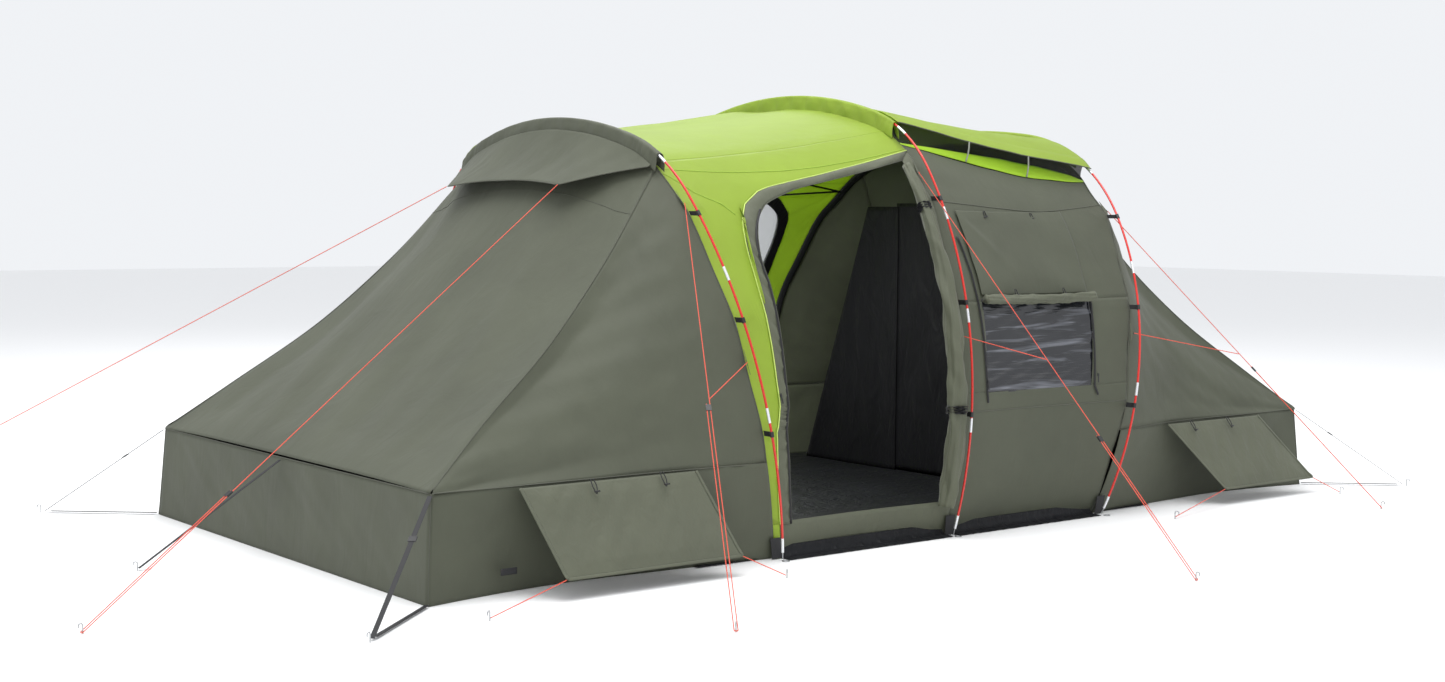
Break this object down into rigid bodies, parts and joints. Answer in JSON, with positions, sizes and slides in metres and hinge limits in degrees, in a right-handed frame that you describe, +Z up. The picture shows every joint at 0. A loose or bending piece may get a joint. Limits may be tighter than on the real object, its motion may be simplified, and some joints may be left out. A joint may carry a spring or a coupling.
{
  "type": "tent on poles",
  "caption": "Tunnel tent on leaning pole hoops, with a rolled-up front door, window wall, roof vents, sloping sleeping wings, guy lines, runners, straps and pegs.",
  "frame": {"origin": "on the ground at the centre of the pitched tent's footprint", "axes": "+Z up, +X along the tent towards the right wing seen from the front door, -Y out of the front door"},
  "size_m": [7.7595, 4.6621, 2.1336],
  "materials": {
    "olive_fabric": "matt coated polyester",
    "lime_fabric": "matt coated polyester",
    "black_fabric": "breathable inner fabric",
    "black_sheet": "coated groundsheet",
    "black_mesh": "open mesh",
    "clear_pvc": "tinted clear film",
    "red_tube": "anodised tube",
    "silver_ferrule": "bright",
    "shock_cord": "braided",
    "black_plastic": "moulded",
    "webbing": "woven tape",
    "steel": "bare",
    "red_cord": "braided line"
  },
  "bodies": {
    "tent": {"clip_tapes": "webbing", "flap_cords": "red_cord", "front_door_roll": "olive_fabric", "front_door_surround": "olive_fabric", "front_window_wall": "olive_fabric", "groundsheet": "black_sheet", "guy_awning_front": "red_cord", "guy_awning_rear": "red_cord", "guy_left_front": "red_cord", "guy_middle_front": "red_cord", "guy_pegs": "steel", "guy_right_front": "red_cord", "left_awning": "olive_fabric", "left_pole": "red_tube", "left_pole_hood": "olive_fabric", "left_sleeping_cabin": "black_fabric", "left_wing_skirt": "olive_fabric", "left_wing_top": "olive_fabric", "middle_pole": "red_tube", "middle_pole_hood": "lime_fabric", "mud_skirt": "black_sheet", "pole_clips": "black_plastic", "pole_ferrules": "silver_ferrule", "pole_foot_pins": "steel", "pole_foot_plates": "black_sheet", "pole_shock_cords": "shock_cord", "rear_door_mesh": "black_mesh", "rear_door_roll": "lime_fabric", "rear_door_surround": "lime_fabric", "rear_window_wall": "olive_fabric", "right_pole": "red_tube", "right_pole_hood": "lime_fabric", "right_sleeping_cabin": "black_fabric", "right_wing_skirt": "olive_fabric", "right_wing_top": "olive_fabric", "roof": "lime_fabric", "toggles": "black_plastic", "vent_canopies": "lime_fabric", "vent_meshes": "black_mesh", "window_cover_rolls": "olive_fabric", "window_panes": "clear_pvc", "wing_pegs": "steel", "wing_straps": "webbing", "zips": "black_plastic"},
    "guy_left_front_runner": {"guy_left_front_runner": "black_plastic"},
    "guy_middle_front_runner": {"guy_middle_front_runner": "black_plastic"},
    "guy_right_front_runner": {"guy_right_front_runner": "black_plastic"},
    "guy_awning_front_runner": {"guy_awning_front_runner": "black_plastic"},
    "guy_awning_rear_runner": {"guy_awning_rear_runner": "black_plastic"},
    "left_vent_flap": {"left_vent_flap": "olive_fabric"},
    "right_vent_flap": {"right_vent_flap": "olive_fabric"},
    "left_front_corner_buckle": {"left_front_corner_buckle": "black_plastic"},
    "left_rear_corner_buckle": {"left_rear_corner_buckle": "black_plastic"},
    "right_front_corner_buckle": {"right_front_corner_buckle": "black_plastic"},
    "right_rear_corner_buckle": {"right_rear_corner_buckle": "black_plastic"},
    "left_window_zip_pull": {"left_window_zip_pull": "black_plastic"},
    "right_window_zip_pull": {"right_window_zip_pull": "black_plastic"},
    "front_door_zip_pull": {"front_door_zip_pull": "black_plastic"}
  },
  "joints": [
    {"name": "guy_left_front_runner_slide", "type": "slide", "parent": "tent", "child": "guy_left_front_runner", "axis": [0.3555, 0.6223, 0.6974], "range_m": [-0.25, 0.02]},
    {"name": "guy_middle_front_runner_slide", "type": "slide", "parent": "tent", "child": "guy_middle_front_runner", "axis": [0.0166, 0.711, 0.703], "range_m": [-0.25, 0.2]},
    {"name": "guy_right_front_runner_slide", "type": "slide", "parent": "tent", "child": "guy_right_front_runner", "axis": [-0.4864, 0.4803, 0.7299], "range_m": [-0.25, 0.07]},
    {"name": "guy_awning_front_runner_slide", "type": "slide", "parent": "tent", "child": "guy_awning_front_runner", "axis": [0.8082, 0.1836, 0.5595], "range_m": [-0.25, 0.3]},
    {"name": "guy_awning_rear_runner_slide", "type": "slide", "parent": "tent", "child": "guy_awning_rear_runner", "axis": [0.7799, -0.4022, 0.4796], "range_m": [-0.25, 0.3]},
    {"name": "left_vent_flap_hinge", "type": "hinge", "parent": "tent", "child": "left_vent_flap", "pos_m": [-1.965, -1.374, 0.426], "axis": [1, 0, 0], "range_deg": [0, 30.4]},
    {"name": "right_vent_flap_hinge", "type": "hinge", "parent": "tent", "child": "right_vent_flap", "pos_m": [1.955, -1.392, 0.426], "axis": [1, 0, 0], "range_deg": [0, 28.2]},
    {"name": "left_front_corner_buckle_slide", "type": "slide", "parent": "tent", "child": "left_front_corner_buckle", "axis": [0.6209, 0.5446, 0.5638], "range_m": [-0.2, 0.15]},
    {"name": "left_rear_corner_buckle_slide", "type": "slide", "parent": "tent", "child": "left_rear_corner_buckle", "axis": [0.6209, -0.5446, 0.5638], "range_m": [-0.2, 0.15]},
    {"name": "right_front_corner_buckle_slide", "type": "slide", "parent": "tent", "child": "right_front_corner_buckle", "axis": [-0.6209, 0.5446, 0.5638], "range_m": [-0.2, 0.15]},
    {"name": "right_rear_corner_buckle_slide", "type": "slide", "parent": "tent", "child": "right_rear_corner_buckle", "axis": [-0.6209, -0.5446, 0.5638], "range_m": [-0.2, 0.15]},
    {"name": "left_window_zip_pull_slide", "type": "slide", "parent": "tent", "child": "left_window_zip_pull", "axis": [0.0814, 0.1777, 0.9807], "range_m": [0, 0.34]},
    {"name": "right_window_zip_pull_slide", "type": "slide", "parent": "tent", "child": "right_window_zip_pull", "axis": [0.1714, 0.193, 0.9661], "range_m": [0, 0.34]},
    {"name": "front_door_zip_pull_slide", "type": "slide", "parent": "tent", "child": "front_door_zip_pull", "axis": [-0.1232, 0.2526, 0.9597], "range_m": [0, 0.34]}
  ]
}
